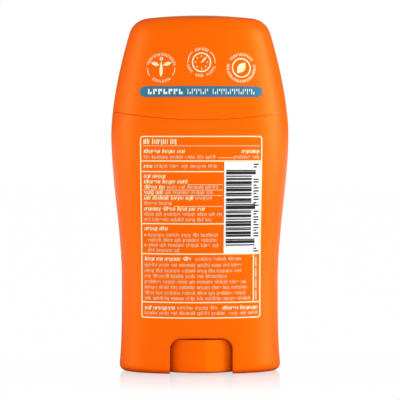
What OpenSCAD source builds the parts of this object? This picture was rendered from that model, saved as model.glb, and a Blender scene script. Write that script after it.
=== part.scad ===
// Twist-up stick for soft antiperspirant: an oval pack with an overcap, a perforated
// applicator head, a straight product canister inside a waisted outer body, and a piston
// that a screw spindle lifts when the dial under the body is turned.
// Millimetres. +Z is up, the foot stands on Z = 0, and the printed face looks along -Y.

/* [Outline] */
// Height of the pack with its cap on
overall_h = 120; // [117:0.5:126]
// Greatest width, at the shoulder
shoulder_w = 60; // [58:0.5:68]
// Greatest depth, at the shoulder
shoulder_d = 33.4; // [32:0.2:38]
// How far the shoulder lies below the parting line
shoulder_drop = 4.6; // [3:0.1:7]
// Width at the waist
waist_w = 52.9; // [52:0.1:56]
// Height of the waist above the foot
waist_z = 31; // [26:0.5:38]
// Width at the foot, before its rounded edge
foot_w = 55; // [54:0.1:57.5]
// How late the foot flares: higher keeps the waist straight for longer
foot_flare = 3.8; // [2:0.1:4.5]
// Radius of the rounded edge round the foot
foot_r = 1.8; // [1:0.1:2.2]

/* [Cap] */
// Height of the cap, at the middle of the face
cap_h = 35.2; // [34:0.1:37]
// How much higher the cap meets the body at its two ends
parting_rise = 2.8; // [1.5:0.1:3.5]
// Gap that shows between the cap and the body
parting_gap = 0.25; // [0.1:0.05:0.4]
// How late the cap leans in: higher keeps its sides straight for longer
cap_lean = 1.62; // [1.5:0.02:2]
// Width of the cap where its top corner begins
cap_top_w = 47.6; // [46:0.1:50]
// How far below the top the corner begins
corner_drop = 6; // [5.4:0.1:7]
// Radius of the top corner, seen from the front
corner_r = 7; // [5:0.1:7.4]
// Wall of the cap
cap_wall = 1.3; // [1:0.1:1.5]
// Wall of the collar inside the cap that grips the neck
collar_wall = 1; // [0.8:0.1:1.2]
// How far the collar stays above the ends of the parting line
collar_up = 0.9; // [0.5:0.1:2]

/* [Outer body] */
// Wall of the outer body
body_wall = 1.4; // [1.2:0.05:1.5]
// Width of the rim that the pack stands on
foot_rim_w = 2.8; // [2.6:0.1:3.2]
// Height of that rim inside the body
foot_rim_h = 2.4; // [1.5:0.1:4]
// Width of the window that shows the dial
window_w = 20.9; // [19:0.1:23]
// Height of that window
window_h = 11.8; // [10:0.1:12]
// Radius of the window's upper corners
window_r = 3.7; // [2:0.1:4]

/* [Canister] */
// Wall of the product canister
canister_wall = 1.2; // [1:0.1:1.4]
// Gap between the canister and the waist of the outer body
canister_fit = 0.15; // [0.1:0.05:0.3]
// Height of the underside of the canister's floor
floor_z = 13; // [12.6:0.1:14]
// Thickness of the canister's floor
floor_t = 1.4; // [1.2:0.1:2]
// Thickness of the deck that closes the top of the outer body
deck_t = 1.4; // [1:0.1:1.6]
// Height of the neck's rim above the parting line
neck_rise = 11.2; // [10:0.1:12.5]
// How far the snap bead stands out of the neck
bead_out = 0.35; // [0.2:0.05:0.5]
// Height of the snap bead
bead_h = 1; // [0.6:0.1:1.4]
// Distance from the neck's rim down to the underside of the bead
bead_drop = 4; // [3:0.1:5]

/* [Applicator] */
// Rise of the applicator dome above its flange
dome_h = 10.5; // [8:0.5:12]
// Wall of the applicator dome
dome_wall = 1.4; // [1.2:0.1:1.8]
// Fullness of the dome: 2 is an ellipsoid, higher is squarer
dome_fullness = 2.4; // [2:0.1:3]
// Step from the edge of the flange to the foot of the dome
flange_step = 0.4; // [0.2:0.1:0.8]
// Thickness of the applicator's flange
flange_t = 1.2; // [1:0.1:1.6]
// Depth of the plug that holds the applicator in the neck
plug_h = 3; // [2.5:0.1:4]
// Diameter of the dispensing holes
hole_d = 2.4; // [1.6:0.1:2.8]
// Distance between dispensing holes
hole_pitch = 5.2; // [4.6:0.1:5.4]

/* [Screw, dial and piston] */
// Diameter over the spindle's thread
spindle_d = 7; // [6.4:0.1:8]
// Diameter of the spindle's journal in the floor
journal_d = 6; // [5.8:0.1:6.2]
// Diameter of the spindle's sealing flange
seal_d = 10; // [9:0.1:12]
// Thickness of that flange
seal_t = 1.4; // [1:0.1:1.8]
// Side of the spindle's square tail
tail_w = 4; // [3.4:0.1:4]
// How far the dial lies behind the face of the body
dial_recess = 0.2; // [0.1:0.05:0.6]
// Gap between the dial's rim and the top of the window
window_gap = 0.35; // [0.3:0.05:0.6]
// Height of the dial's underside above the foot
dial_lift = 0.3; // [0.2:0.05:0.5]
// Wall of the dial
dial_wall = 1.4; // [1.2:0.1:2]
// Wall of the dial's hub round the square tail
hub_wall = 1.5; // [1.2:0.1:2.5]
// Number of ribs inside the dial
dial_ribs = 6; // [3:1:8]
// Thickness of a rib
rib_t = 1; // [0.8:0.1:1.4]
// Height of the piston's skirt
piston_h = 8; // [7:0.5:9]
// Wall of the piston
piston_wall = 1.2; // [1:0.1:1.5]
// Height of a wiper lip
lip_h = 1; // [0.6:0.1:1.4]
// Diameter of the piston's nut
nut_d = 11; // [10.5:0.1:14]

/* [Print on the cap] */
// Width of the coloured band
band_w = 41.4; // [36:0.2:44]
// Height of the band
band_h = 3.6; // [2.4:0.1:5]
// Height of the band's middle above the parting line
band_up = 9.3; // [7.5:0.1:9.5]
// Height of the marks on the band
band_mark_h = 1.6; // [1:0.1:2]
// Outer radius of the round emblems
emblem_r = 5; // [4:0.05:5.1]
// Distance from the middle emblem to the outer ones
emblem_pitch = 13.6; // [12:0.1:14]
// Height of the outer emblems' centres above the parting line
emblem_up = 17.2; // [16:0.1:18]
// How much higher the middle emblem is
emblem_rise = 1.8; // [0:0.1:3]
// Height of the marks round an emblem
mark_h = 1; // [0.7:0.05:1.2]
// Radius of an emblem's inner ring
ring_r = 3.3; // [2.8:0.05:3.5]
// Line width of the inner ring
ring_w = 0.45; // [0.3:0.05:0.6]

/* [Print on the body] */
// Width of the printed panel
panel_w = 40.8; // [38:0.1:42]
// Height of the panel's lower edge above the foot
panel_bottom = 18.6; // [16:0.1:18.6]
// Distance from the shoulder down to the panel's upper edge
panel_drop = 0.8; // [0.5:0.1:3]
// Radius of the panel's corners
panel_r = 1; // [0.6:0.1:2]
// Line width of the panel's frame and of its heavy rules
frame_w = 0.4; // [0.3:0.05:0.5]
// Line width of the fine rules
rule_w = 0.15; // [0.15:0.05:0.3]
// Margin between the panel's edge and its print
margin = 1.05; // [0.9:0.05:1.6]
// Height of a line of small print
line_h = 0.8; // [0.6:0.05:0.9]
// Height of a heading
heading_h = 1; // [0.8:0.05:1.1]
// Width of the white block
block_w = 12.4; // [11:0.1:13]
// Length of one bar of the barcode
bar_w = 8.65; // [7:0.05:9]
// How much longer the guard bars are
guard_w = 1.35; // [0.8:0.05:1.6]
// Width of the narrowest bar
module_w = 0.27; // [0.25:0.01:0.34]
// Thickness of the printed ink
ink_t = 0.1; // [0.06:0.01:0.15]

/* [Hidden] */
$fn = 96;
// Clearance of parts that turn or slide in one another, and of parts pushed together
running = 0.08;
sliding = 0.15;
push_fit = 0.05;
// A cut runs this far past the face it opens
past = 1;
// Gap between the spindle's sealing flange and the piston's nut at its lowest
nut_gap = 0.4;
// How far the canister's deck lies below the body's rim
deck_sunk = 0.7;

orange = "#ff6a00";
natural = "#f3f0ea";
cream = "#ffe9c4";

// Outline
half_a = shoulder_w / 2;
half_b = shoulder_d / 2;
parting_z = overall_h - cap_h;
shoulder_z = parting_z - shoulder_drop;
corner_z = overall_h - corner_drop;
neck_z = parting_z + neck_rise;

// Half the width of the pack at a height: the foot flares from the waist, the waist swells
// to the shoulder, and the cap leans in from there to its corner.
function half_w(z) =
    z < waist_z ?
        waist_w / 2 + (foot_w - waist_w) / 2 * pow((waist_z - z) / waist_z, foot_flare) :
    z < shoulder_z ?
        let (t = (z - waist_z) / (shoulder_z - waist_z))
        waist_w / 2 + (shoulder_w - waist_w) / 2 * t * t * (3 - 2 * t) :
    half_a - (half_a - cap_top_w / 2) * pow((z - shoulder_z) / (corner_z - shoulder_z), cap_lean);

// Lean of the outline's outward normal above the horizontal, in degrees
function lean(z) = atan((half_w(z - 0.05) - half_w(z + 0.05)) / 0.1);

// Depth over width of the oval that lies this far inside the outside surface
function oval(inset) = (half_b - inset) / (half_a - inset);

// Points up the side of the outline, moved inwards by inset
function side(z0, z1, inset, steps) =
    [for (i = [0:steps])
        let (z = z0 + (z1 - z0) * i / steps)
        [half_w(z) - inset * cos(lean(z)), z - inset * sin(lean(z))]];

// A profile turned about Z, whole or in equal sectors, and flattened to the pack's oval
module turned_oval(inset, sectors = 1)
    scale([1, oval(inset), 1])
        for (i = [0:sectors - 1])
            rotate(360 / sectors * i) rotate_extrude(angle = 360 / sectors) children();

// An upright oval column with half-axes a and b
module column(a, b, z0, z1)
    translate([0, 0, z0]) linear_extrude(z1 - z0) scale([1, b / a]) circle(a);

// An upright oval tube
module tube(a, b, wall, z0, z1)
    difference() {
        column(a, b, z0, z1);
        column(a - wall, b - wall, z0 - past, z1 + past);
    }

// The parting surface is a wide arc seen from the front, lower at the middle of the face.
parting_top = parting_z + parting_rise;
parting_half = half_w(parting_top);
parting_r = (pow(parting_half, 2) + pow(parting_rise, 2)) / (2 * parting_rise);

module above_parting(lower)
    translate([0, 0, parting_z + parting_r]) rotate([90, 0, 0])
        cylinder(r = parting_r + lower, h = 2 * shoulder_d, center = true, $fn = 256);

// The canister is straight, so it is as wide as the narrowest part of the body lets it be,
// and its neck fits in the cap. The cap, the applicator and the piston follow it.
grip = bead_out + sliding;
narrow = min(half_w(waist_z), half_w(shoulder_z)) - body_wall;
cap_room = half_w(neck_z) - cap_wall;
canister_a = min(narrow - canister_fit, cap_room - grip);
canister_b = min(narrow * oval(body_wall) - canister_fit, cap_room * oval(cap_wall) - grip);
chamber_a = canister_a - canister_wall;
chamber_b = canister_b - canister_wall;
floor_top = floor_z + floor_t;
bead_z = neck_z - bead_drop;
deck_z = parting_z - parting_gap - deck_sunk - deck_t;
deck_top = deck_z + deck_t;

// Cap
// The corner arc leaves the side without a break, and the crown is the one arc about the
// axis that meets both the corner and the top. The corner's radius leaves the crown some rise.
crown_rise = 0.5;
corner_lean = lean(corner_z - 0.05);
corner_arc = min(corner_r, (corner_drop - crown_rise) / (1 - sin(corner_lean)));
corner_x = cap_top_w / 2 - corner_arc * cos(corner_lean);
corner_low = corner_z - corner_arc * sin(corner_lean);
corner_depth = overall_h - corner_low;
crown_r = (pow(corner_x, 2) + pow(corner_depth, 2) - pow(corner_arc, 2))
          / (2 * (corner_depth - corner_arc));
crown_angle = atan(corner_x / (crown_r - corner_depth));
cap_low = parting_z - 2 * past;

function cap_outline(inset, z0) = concat(
    [[0, z0], [half_w(cap_low) - inset, z0]],
    side(parting_top + 1, corner_z - 0.4, inset, 12),
    [for (i = [0:8])
        let (t = corner_lean + (90 - crown_angle - corner_lean) * i / 8)
        [corner_x + (corner_arc - inset) * cos(t), corner_low + (corner_arc - inset) * sin(t)]],
    [for (i = [1:5])
        let (t = crown_angle * (1 - i / 5))
        [(crown_r - inset) * sin(t), overall_h - crown_r + (crown_r - inset) * cos(t)]]);

// The collar hangs from the inside of the cap and grips the neck's bead.
module cap()
    color(orange)
        intersection() {
            difference() {
                turned_oval(0, 4) polygon(cap_outline(0, cap_low));
                difference() {
                    turned_oval(cap_wall, 4) polygon(cap_outline(cap_wall, cap_low - past));
                    tube(canister_a + grip + collar_wall, canister_b + grip + collar_wall,
                         collar_wall, parting_top + collar_up, overall_h);
                }
            }
            above_parting(0);
        }

// Outer body
ledge_w = 1.2;
hook_w = 6;
hook_h = 1.2;
hook_out = 0.7;
body_high = parting_top + 3 * past;

function body_inner(z) = half_w(z) - body_wall;
ledge_a = max(body_inner(deck_z) - ledge_w, canister_a + canister_fit);

function body_outside() = concat(
    [[0, -past], [half_w(foot_r) - foot_r, -past]],
    [for (i = [0:6])
        let (t = -90 + 15 * i)
        [half_w(foot_r) - foot_r + foot_r * cos(t), foot_r + foot_r * sin(t)]],
    side(foot_r + 2, waist_z, 0, 6),
    side(waist_z + 4, shoulder_z, 0, 11),
    [[half_w(body_high), body_high], [0, body_high]]);

function body_inside() = concat(
    [[0, -3 * past], [half_w(0) - foot_rim_w, -3 * past], [half_w(0) - foot_rim_w, foot_rim_h]],
    side(foot_rim_h + foot_rim_w - body_wall, waist_z, body_wall, 5),
    side(waist_z + 4, deck_z - 2 * ledge_w, body_wall, 10),
    [[ledge_a, deck_z - ledge_w], [ledge_a, deck_z],
     [body_inner(deck_z), deck_z], [body_inner(body_high), body_high + past],
     [0, body_high + past]]);

module window()
    rotate([90, 0, 0]) linear_extrude(2 * shoulder_d, center = true) {
        translate([-window_w / 2, -2 * past])
            square([window_w, window_h - window_r + 2 * past]);
        translate([-window_w / 2 + window_r, -2 * past])
            square([window_w - 2 * window_r, window_h + 2 * past]);
        for (end = [-1, 1])
            translate([end * (window_w / 2 - window_r), window_h - window_r]) circle(window_r);
    }

// Two hooks at the ends of the oval hold the canister's deck down.
module deck_hooks()
    intersection() {
        turned_oval(body_wall) polygon([
            [body_inner(deck_z) - hook_out, deck_top + push_fit],
            [body_inner(deck_z) + body_wall / 2, deck_top + push_fit],
            [body_inner(deck_z) + body_wall / 2, deck_top + push_fit + hook_h]]);
        cube([2 * shoulder_w, hook_w, 2 * overall_h], center = true);
    }

module outer_body()
    color(orange) {
        difference() {
            turned_oval(0) polygon(body_outside());
            turned_oval(body_wall) polygon(body_inside());
            above_parting(parting_gap);
            window();
            translate([-shoulder_w, -shoulder_w, -2 * past])
                cube([2 * shoulder_w, 2 * shoulder_w, 2 * past]);
        }
        deck_hooks();
    }

// Canister
module canister()
    color(natural)
        difference() {
            union() {
                column(canister_a, canister_b, floor_z, neck_z);
                turned_oval(body_wall + push_fit) polygon([
                    [chamber_a, deck_z], [body_inner(deck_z) - push_fit, deck_z],
                    [body_inner(deck_top) - push_fit, deck_top], [chamber_a, deck_top]]);
                column(canister_a + bead_out, canister_b + bead_out, bead_z, bead_z + bead_h);
            }
            column(chamber_a, chamber_b, floor_top, neck_z + past);
            translate([0, 0, floor_z - past])
                cylinder(d = journal_d + 2 * running, h = floor_t + 2 * past);
        }

// Applicator head
dome_a = canister_a - flange_step;
dome_b = canister_b - flange_step;
dome_z = neck_z + flange_t;
plug_z = neck_z - plug_h;

// A dome with an oval foot
module dome(a, b, h)
    translate([0, 0, dome_z]) scale([1, b / a, 1]) rotate_extrude()
        polygon(concat([[0, 0]], [for (i = [0:14])
            let (t = 90 * i / 14)
            [a * pow(cos(t), 2 / dome_fullness), h * pow(sin(t), 2 / dome_fullness)]]));

// Staggered rows of holes, as many as the inside of the dome has room for. Each keeps this much
// plastic round it.
hole_land = 0.8;
hole_edge = hole_d / 2 + hole_land;
hole_rows = floor((dome_b - dome_wall - hole_edge) / hole_pitch);
hole_cols = floor((dome_a - dome_wall - hole_edge) / hole_pitch);

module dispensing_holes()
    for (row = [-hole_rows:hole_rows], i = [-hole_cols - 1:hole_cols])
        let (x = (i + (row % 2 == 0 ? 0 : 0.5)) * hole_pitch,
             y = row * hole_pitch,
             reach_a = dome_a - dome_wall - hole_edge,
             reach_b = dome_b - dome_wall - hole_edge)
            if (pow(x / reach_a, 2) + pow(y / reach_b, 2) < 1)
                translate([x, y, neck_z]) cylinder(d = hole_d, h = flange_t + dome_h + past);

module applicator_head()
    color(natural)
        difference() {
            union() {
                dome(dome_a, dome_b, dome_h);
                column(canister_a, canister_b, neck_z, dome_z);
                column(chamber_a - push_fit, chamber_b - push_fit, plug_z, neck_z);
            }
            dome(dome_a - dome_wall, dome_b - dome_wall, dome_h - dome_wall);
            column(chamber_a - dome_wall, chamber_b - dome_wall, plug_z - past, dome_z);
            dispensing_holes();
        }

// Piston
seal_top = floor_top + push_fit + seal_t;
piston_lift = 0.8;
piston_z = floor_top + piston_lift;
piston_top = piston_z + piston_h;
piston_a = chamber_a - sliding;
piston_b = chamber_b - sliding;
lip_a = chamber_a - push_fit;
lip_b = chamber_b - push_fit;
nut_z = seal_top + nut_gap;

module piston()
    color(natural)
        difference() {
            union() {
                tube(piston_a, piston_b, piston_wall, piston_z, piston_top);
                column(piston_a, piston_b, piston_top - piston_wall, piston_top);
                for (z = [piston_z, piston_top - lip_h])
                    tube(lip_a, lip_b, piston_wall, z, z + lip_h);
                translate([0, 0, nut_z]) cylinder(d = nut_d, h = piston_top - nut_z);
                intersection() {
                    for (turn = [0, 90])
                        rotate(turn) translate([-half_a, -rib_t / 2, nut_z])
                            cube([shoulder_w, rib_t, piston_top - nut_z]);
                    column(piston_a, piston_b, piston_z, piston_top);
                }
            }
            translate([0, 0, piston_z - past])
                cylinder(d = spindle_d + 2 * running, h = piston_h + 2 * past);
        }

// Spindle
spindle_sunk = 2;
tail_lift = 0.3;
journal_out = 0.4;
tip_h = 1.2;
spindle_top = neck_z - spindle_sunk;
tail_z = dial_lift + dial_wall + tail_lift;
journal_low = floor_z - journal_out;

module spindle()
    color(natural) {
        translate([0, 0, floor_top + push_fit]) cylinder(d = seal_d, h = seal_t);
        translate([0, 0, floor_top + push_fit])
            cylinder(d = spindle_d, h = spindle_top - tip_h - floor_top - push_fit);
        translate([0, 0, spindle_top - tip_h])
            cylinder(d1 = spindle_d, d2 = spindle_d - 2 * tip_h, h = tip_h);
        translate([0, 0, journal_low]) cylinder(d = journal_d, h = seal_top - journal_low);
        translate([-tail_w / 2, -tail_w / 2, tail_z]) cube([tail_w, tail_w, floor_z - tail_z]);
    }

// Dial
dial_r = half_w(window_h) * oval(0) - dial_recess;
dial_rim = window_h - window_gap;
dial_edge = 0.8;
hub_r = tail_w / sqrt(2) + push_fit + hub_wall;
socket_w = tail_w + 2 * push_fit;

module dial()
    color(orange)
        difference() {
            union() {
                rotate_extrude() polygon(concat(
                    [[0, dial_lift]],
                    [for (i = [0:4])
                        let (t = -90 + 22.5 * i)
                        [dial_r - dial_edge + dial_edge * cos(t),
                         dial_lift + dial_edge + dial_edge * sin(t)]],
                    [[dial_r, dial_rim], [dial_r - dial_wall, dial_rim],
                     [dial_r - dial_wall, dial_lift + dial_wall], [0, dial_lift + dial_wall]]));
                translate([0, 0, dial_lift]) cylinder(r = hub_r, h = floor_z - running - dial_lift);
                for (i = [0:dial_ribs - 1])
                    rotate(360 / dial_ribs * i)
                        translate([hub_r - rib_t / 2, -rib_t / 2, dial_lift + dial_wall / 2])
                            cube([dial_r - dial_wall / 2 - hub_r + rib_t / 2, rib_t,
                                  dial_rim - rib_t - dial_lift - dial_wall / 2]);
            }
            translate([-socket_w / 2, -socket_w / 2, tail_z - push_fit])
                cube([socket_w, socket_w, floor_z]);
            translate([0, 0, journal_low - push_fit])
                cylinder(d = journal_d + 2 * running, h = past);
        }

// Product
module product()
    color("#fffdf5")
        difference() {
            column(chamber_a - push_fit, chamber_b - push_fit, piston_top + push_fit,
                   plug_z - push_fit);
            cylinder(d = spindle_d + 2 * running, h = neck_z);
        }

// Print
// Each printed shape is a grid of points [x, z] laid on the front face: its back lies just
// off the surface and its front stands ink_t further out. Cells are short enough to follow
// the curve of the face.
ink_gap = 0.05;
cell_x = 2.2;
cell_z = 4;
line_gap = 0.05;
// Print is laid out flat and wraps round the pack, so it narrows a little where the pack does.
print_taper = 0.2;

function wrap(x, z) = x * (1 - print_taper * (1 - half_w(z) / half_a));

function face_y(x, z, out) =
    -(half_w(z) * oval(0) * sqrt(1 - pow(x / half_w(z), 2)) + out);

// Rows of points for a rectangle
function field(x0, x1, z0, z1) =
    let (nx = ceil((x1 - x0) / cell_x), nz = ceil((z1 - z0) / cell_z))
    [for (j = [0:nz]) [for (i = [0:nx]) [x0 + (x1 - x0) * i / nx, z0 + (z1 - z0) * j / nz]]];

// Rows of points for an arc of a ring, from its outside to its inside
function arc(cx, cz, r_out, r_in, a0, a1, n) =
    [for (r = [r_out, r_in]) [for (i = [0:n])
        let (t = a0 + (a1 - a0) * i / n) [cx + r * cos(t), cz + r * sin(t)]]];

// The same for a whole ring, whose last column joins its first
function ring(cx, cz, r_out, r_in, n) = arc(cx, cz, r_out, r_in, 0, 360 - 360 / n, n - 1);

// Rows of points for a leaf, fullest where belly puts it, turned by angle
leaf_tip = 0.08;
function blade(cx, cz, w, h, belly, angle) =
    [for (j = [0:8])
        let (t = j / 8, half = leaf_tip + w / 2 * sin(180 * pow(t, belly)), up = h * (t - 0.5))
        [for (x = [-half, half])
            [cx + x * cos(angle) - up * sin(angle), cz + x * sin(angle) + up * cos(angle)]]];

function grid_points(g, base) =
    [for (out = [base, base + ink_t]) for (row = g) for (p = row)
        let (x = wrap(p[0], p[1])) [x, face_y(x, p[1], out), p[1]]];

function two(a, b, c, d) = [[a, b, c], [a, c, d]];

function grid_faces(rows, cols, start, closed) =
    let (half = rows * cols, last = closed ? cols - 1 : cols - 2)
    [each [for (j = [0:rows - 2]) for (i = [0:last])
        let (p = start + j * cols + i, q = start + j * cols + (i + 1) % cols)
        each concat(two(p, q, q + cols, p + cols),
                    two(p + half, p + cols + half, q + cols + half, q + half))],
     each [for (i = [0:last])
        let (p = start + i, q = start + (i + 1) % cols, up = (rows - 1) * cols)
        each concat(two(q, p, p + half, q + half),
                    two(p + up, q + up, q + up + half, p + up + half))],
     each [if (!closed) for (j = [0:rows - 2])
        let (p = start + j * cols, r = p + cols - 1)
        each concat(two(p, p + cols, p + cols + half, p + half),
                    two(r + cols, r, r + half, r + cols + half))]];

// Index of each grid's first point in the joined list of points
function starts(grids) =
    [for (k = 0, at = 0; k < len(grids);
          at = at + 2 * len(grids[k]) * len(grids[k][0]), k = k + 1) at];

module ink(grids, closed = false, base = ink_gap) {
    at = starts(grids);
    polyhedron(points = [for (g = grids) each grid_points(g, base)],
               faces = [for (k = [0:len(grids) - 1])
                   each grid_faces(len(grids[k]), len(grids[k][0]), at[k], closed)],
               convexity = 4);
}

// The band's ends are round, and each row of points is its lower or its upper edge.
band_z = parting_z + band_up;

module cap_band() {
    r = band_h / 2;
    turns = [80, 60, 40, 20, 0];
    flat = band_w / 2 - r;
    steps = ceil(2 * flat / cell_x);
    color("#2f7d9f")
        ink([[for (edge = [-1, 1]) concat(
            [for (t = turns) [-flat - r * sin(t), band_z + edge * r * cos(t)]],
            [for (i = [1:steps - 1]) [-flat + 2 * flat * i / steps, band_z + edge * r]],
            [for (i = [4:-1:0]) [flat + r * sin(turns[i]), band_z + edge * r * cos(turns[i])]])]]);
}

// Marks on the band in three groups, which are spaced as words are
band_groups = [7, 5, 10];
band_share = 0.865;
band_step = band_w * band_share / (band_groups[0] + band_groups[1] + band_groups[2] + 2);
mark_fill = 0.64;

module band_marks() {
    low = band_z - band_mark_h / 2;
    skipped = [0, band_groups[0] + 1, band_groups[0] + band_groups[1] + 2];
    color("#ffffff")
        ink([for (g = [0:2]) for (i = [0:band_groups[g] - 1])
            let (x = -band_w * band_share / 2 + band_step * (skipped[g] + i))
            field(x, x + band_step * mark_fill, low, low + band_mark_h)],
            base = 2 * ink_gap + ink_t);
}

// Three round emblems: a sprig, a timer and a leaf, ringed by short marks and thin arcs
emblem_z = parting_z + emblem_up;
emblem_at = [[-emblem_pitch, emblem_z], [0, emblem_z + emblem_rise], [emblem_pitch, emblem_z]];
arc_w = 0.25;
tick_h = 0.5;
tick_half = 5;
// The leaves, the stem and the timer's hand, each as its emblem, its centre's place, its width and
// its height in ring radii, its belly and its turn
motif = [
    [0, 0, -0.1, 0.3, 1.6, 0.7, 0], [0, -0.62, 0.4, 0.34, 0.86, 1, 72], [0, 0.62, 0.4, 0.34, 0.86, 1, -72],
    [1, 0.26, 0.26, 0.14, 0.85, 1, -45], [2, 0, 0, 0.75, 1.35, 1, -40]];
bud_up = 0.92;
bud_r = 0.18;
bud_hole = 0.07;

// Evenly spaced marks from one angle to another
function marks(c, a0, a1, n) =
    let (step = (a1 - a0) / n)
    [for (i = [0:n - 1])
        arc(c[0], c[1], emblem_r, emblem_r - mark_h, a0 + step * i, a0 + step * (i + mark_fill), 1)];

function outer_arc(c, a0, a1) = arc(c[0], c[1], emblem_r - arc_w, emblem_r - 2 * arc_w, a0, a1, 5);

module cap_emblems()
    color(cream) {
        left = emblem_at[0];
        middle = emblem_at[1];
        right = emblem_at[2];
        ink(concat(marks(left, 11, 170, 13), marks(left, 233, 315, 6),
                   [outer_arc(left, 180, 214), outer_arc(left, 326, 360)]));
        ink(concat(marks(middle, 60, 123, 5), marks(middle, 190, 229, 3), marks(middle, 245, 280, 3),
                   marks(middle, 294, 348, 4),
                   [outer_arc(middle, 130, 184), outer_arc(middle, -4, 50)]));
        ink(concat(marks(right, 33, 148, 9), marks(right, 165, 375, 19)));
        ink([for (c = [middle, right]) ring(c[0], c[1], ring_r, ring_r - ring_w, 24)], closed = true);
        ink([for (i = [1:7])
            arc(middle[0], middle[1], ring_r - 2 * tick_h, ring_r - 3 * tick_h,
                45 * (i + 1) - tick_half, 45 * (i + 1) + tick_half, 1)]);
        ink([for (m = motif)
            let (c = emblem_at[m[0]])
            blade(c[0] + ring_r * m[1], c[1] + ring_r * m[2], ring_r * m[3], ring_r * m[4], m[5], m[6])]);
        ink([ring(left[0], left[1] + ring_r * bud_up, ring_r * bud_r, ring_r * bud_hole, 8)],
            closed = true);
    }

// Panel
// It is panel_rows lines of print tall, and rows are counted down from its upper edge. Across,
// places are shares of the measure, from 0 at the left margin to 1 at the right margin.
panel_top = shoulder_z - panel_drop;
panel_half = panel_w / 2;
panel_rows = 33;
row_h = (panel_top - panel_bottom) / panel_rows;
block_x = panel_half - frame_w - line_gap - block_w;
rule_end = panel_half - frame_w - line_gap;
rule_stop = block_x - line_gap;

function row(n) = panel_top - n * row_h;
function at(share) = -panel_half + margin + share * (panel_w - 2 * margin);
function bar(x0, x1, z, h) = field(x0, x1, z - h / 2, z + h / 2);

// Rows of the heavy rules, which part the panel into sections
head_rule = 4.53;
use_rule = 6.44;
warning_rule = 15.87;
block_rule = 21.33;
notes_rule = 30.1;
column_share = 0.957;
// The first heading is taller than the others by this share
title_share = 1.3;

// Words in a line: bars of varied length with even spaces, until the line is full. Lengths go
// from word_least up in word_step.
word_gap = 0.6;
word_least = 2.2;
word_step = 1.1;
function words(x, x1, z, h, k) =
    x > x1 - word_gap ? [] :
    let (w = word_least + word_step * (k * 7 % 4), end = x1 - x - w < word_least ? x1 : x + w)
    concat([bar(x, end, z, h)], words(end + word_gap, x1, z, h, k + 1));

// Lines of print, each as its row, its start and its end
bold_lines = [
    [1.05, 0, 0.285], [2.8, 0, 0.353], [2.8, 0.841, 1], [5.5, 0, 0.075], [7.3, 0, 0.188],
    [8.28, 0, 0.379], [9.26, 0, 0.182], [10.24, 0, 0.161], [11.22, 0, 0.427], [13.18, 0, 0.524],
    [16.75, 0, 0.203], [22.25, 0, 0.406], [31.1, 0, 0.264], [31.1, 0.681, 1]];
plain_lines = [
    [3.85, 0, 0.626], [3.85, 0.776, 1], [5.5, 0.095, 0.634], [9.26, 0.2, 0.642],
    [10.24, 0.18, 0.597], [11.22, 0.445, 0.589], [12.2, 0, 0.245], [14.16, 0, 0.678],
    [15.14, 0, 0.587], [17.93, 0.033, 0.642], [18.85, 0.033, 0.634], [19.77, 0.033, 0.652],
    [20.69, 0.033, 0.306], [22.25, 0.447, 0.852], [23.37, 0, 0.854], [24.4, 0, 0.854],
    [25.4, 0, 0.726], [26.4, 0, 0.896], [27.4, 0, 0.907], [28.42, 0, 0.891], [29.4, 0, 0.938],
    [31.1, 0.285, 0.642], [32.08, 0, 0.71], [32.08, 0.739, 1]];
// Bullets are [row, start, end], and the print that runs up the right side is four words
bullets = [[17.93, 0.004, 0.016], [19.77, 0.004, 0.016]];
bullet_h = 0.5;
upright_rows = [22:2:28];
upright_len = 1.7;
upright_start = 0.976;
upright_end = 0.992;
fine_rules = [
    [1.8, 0, 1], [3.95, 0.642, 0.772], [8.78, 0.381, 0.683], [9.76, 0, 0.683], [10.75, 0, 0.683],
    [12.72, 0.26, 0.683]];

// The frame's outline, moved inwards by inset, from the left end of its lower edge
function panel_loop(inset) =
    let (r = panel_r - inset, x = panel_half - panel_r,
         z0 = panel_bottom + panel_r, z1 = panel_top - panel_r,
         nx = ceil(2 * x / cell_x), nz = ceil((z1 - z0) / cell_z), turn = [0:22.5:67.5])
    concat([for (i = [0:nx - 1]) [-x + 2 * x * i / nx, z0 - r]],
           [for (t = turn) [x + r * sin(t), z0 - r * cos(t)]],
           [for (i = [0:nz - 1]) [x + r, z0 + (z1 - z0) * i / nz]],
           [for (t = turn) [x + r * cos(t), z1 + r * sin(t)]],
           [for (i = [0:nx - 1]) [x - 2 * x * i / nx, z1 + r]],
           [for (t = turn) [-x - r * sin(t), z1 + r * cos(t)]],
           [for (i = [0:nz - 1]) [-x - r, z1 - (z1 - z0) * i / nz]],
           [for (t = turn) [-x - r * cos(t), z0 - r * sin(t)]]);

module label_lines()
    color(cream) {
        ink([[panel_loop(0), panel_loop(frame_w)]], closed = true);
        ink(concat([for (n = [block_rule, notes_rule]) bar(-rule_end, rule_end, row(n), frame_w)],
                   [for (n = [head_rule, use_rule, warning_rule])
                       bar(-rule_end, n == head_rule ? rule_end : rule_stop, row(n), frame_w)]));
        ink([field(at(column_share), at(column_share) + frame_w,
                   row(notes_rule) + frame_w / 2 + line_gap, row(block_rule) - frame_w / 2 - line_gap)]);
        ink([for (line = fine_rules) bar(at(line[1]), at(line[2]), row(line[0]), rule_w)]);
        ink([for (i = [0:len(bold_lines) - 1])
            let (line = bold_lines[i], h = i == 0 ? title_share * heading_h : heading_h)
            each words(at(line[1]), at(line[2]), row(line[0]), h, i)]);
        ink([for (i = [0:len(plain_lines) - 1])
            let (line = plain_lines[i])
            each words(at(line[1]), at(line[2]), row(line[0]), line_h, i)]);
        ink([for (dot = bullets) bar(at(dot[1]), at(dot[2]), row(dot[0]), bullet_h)]);
        ink([for (n = upright_rows)
            field(at(upright_start), at(upright_end), row(n + upright_len), row(n))]);
    }

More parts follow.
